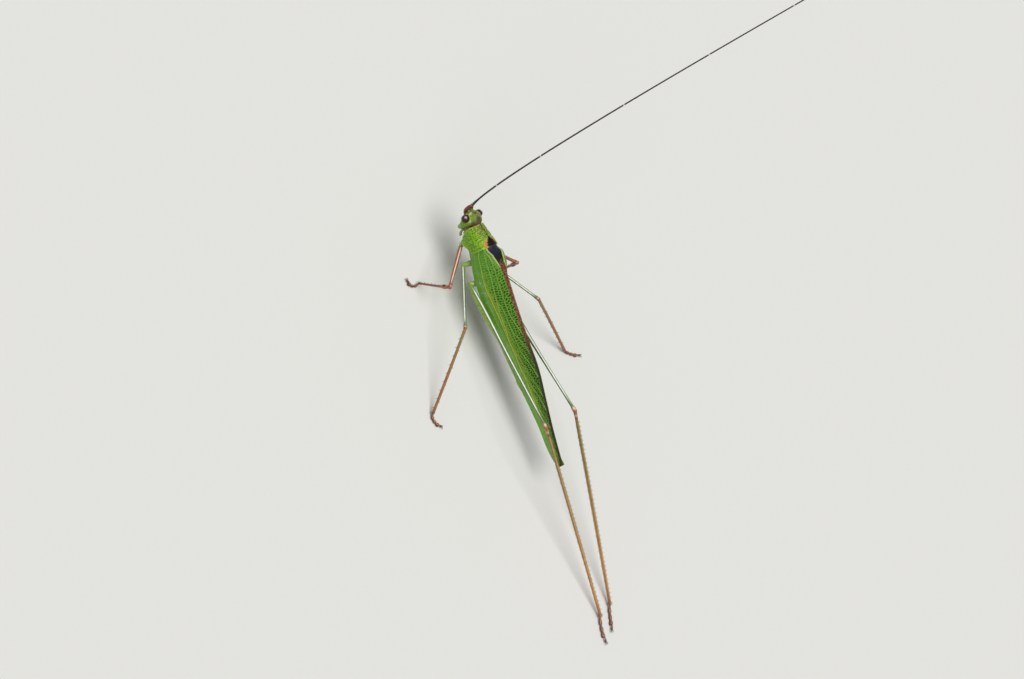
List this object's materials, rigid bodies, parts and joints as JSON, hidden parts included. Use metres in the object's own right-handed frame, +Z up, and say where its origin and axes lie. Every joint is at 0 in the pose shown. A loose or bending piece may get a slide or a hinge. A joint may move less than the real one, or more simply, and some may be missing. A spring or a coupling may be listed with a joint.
{
  "type": "long-horned grasshopper",
  "caption": "Slender green long-horned grasshopper standing at rest, wings folded over its back, long hind legs stretched behind and thread-like feelers raised.",
  "frame": {"origin": "on the ground under the middle of the insect's box, feelers and claws included", "axes": "+Z up from the ground, -Y the way the head points, +X towards the insect's left side"},
  "size_m": [0.0502, 0.0662, 0.0632],
  "materials": {
    "leaf_green_cuticle": "satin",
    "pale_green_cuticle": "satin",
    "eye_brown": "gloss",
    "feeler_black": "satin",
    "scape_red_brown": "satin",
    "tegmen_green": "satin",
    "belly_green": "matte",
    "front_leg_orange_tan": "satin",
    "tibia_ochre_brown": "satin",
    "tarsus_red_brown": "satin"
  },
  "bodies": {
    "root": {"head": "leaf_green_cuticle", "mouth": "belly_green", "pronotum": "leaf_green_cuticle", "prothorax": "belly_green", "thorax": "belly_green", "abdomen": "belly_green", "subgenital_plate": "belly_green", "eye_left": "eye_brown", "palp_left": "belly_green", "scape_left": "scape_red_brown", "antenna_left": "feeler_black", "tegmen_left": "tegmen_green", "cercus_left": "belly_green", "front_left_coxa": "leaf_green_cuticle", "front_left_femur": "front_leg_orange_tan", "front_left_tibia": "front_leg_orange_tan", "front_left_tarsus": "tarsus_red_brown", "middle_left_coxa": "leaf_green_cuticle", "middle_left_femur": "pale_green_cuticle", "middle_left_tibia": "tibia_ochre_brown", "middle_left_tarsus": "tarsus_red_brown", "hind_left_coxa": "leaf_green_cuticle", "hind_left_femur": "pale_green_cuticle", "hind_left_tibia": "tibia_ochre_brown", "hind_left_tarsus": "tarsus_red_brown", "eye_right": "eye_brown", "palp_right": "belly_green", "scape_right": "scape_red_brown", "antenna_right": "feeler_black", "tegmen_right": "tegmen_green", "cercus_right": "belly_green", "front_right_coxa": "leaf_green_cuticle", "front_right_femur": "front_leg_orange_tan", "front_right_tibia": "front_leg_orange_tan", "front_right_tarsus": "tarsus_red_brown", "middle_right_coxa": "leaf_green_cuticle", "middle_right_femur": "pale_green_cuticle", "middle_right_tibia": "tibia_ochre_brown", "middle_right_tarsus": "tarsus_red_brown", "hind_right_coxa": "leaf_green_cuticle", "hind_right_femur": "pale_green_cuticle", "hind_right_tibia": "tibia_ochre_brown", "hind_right_tarsus": "tarsus_red_brown"}
  },
  "joints": []
}
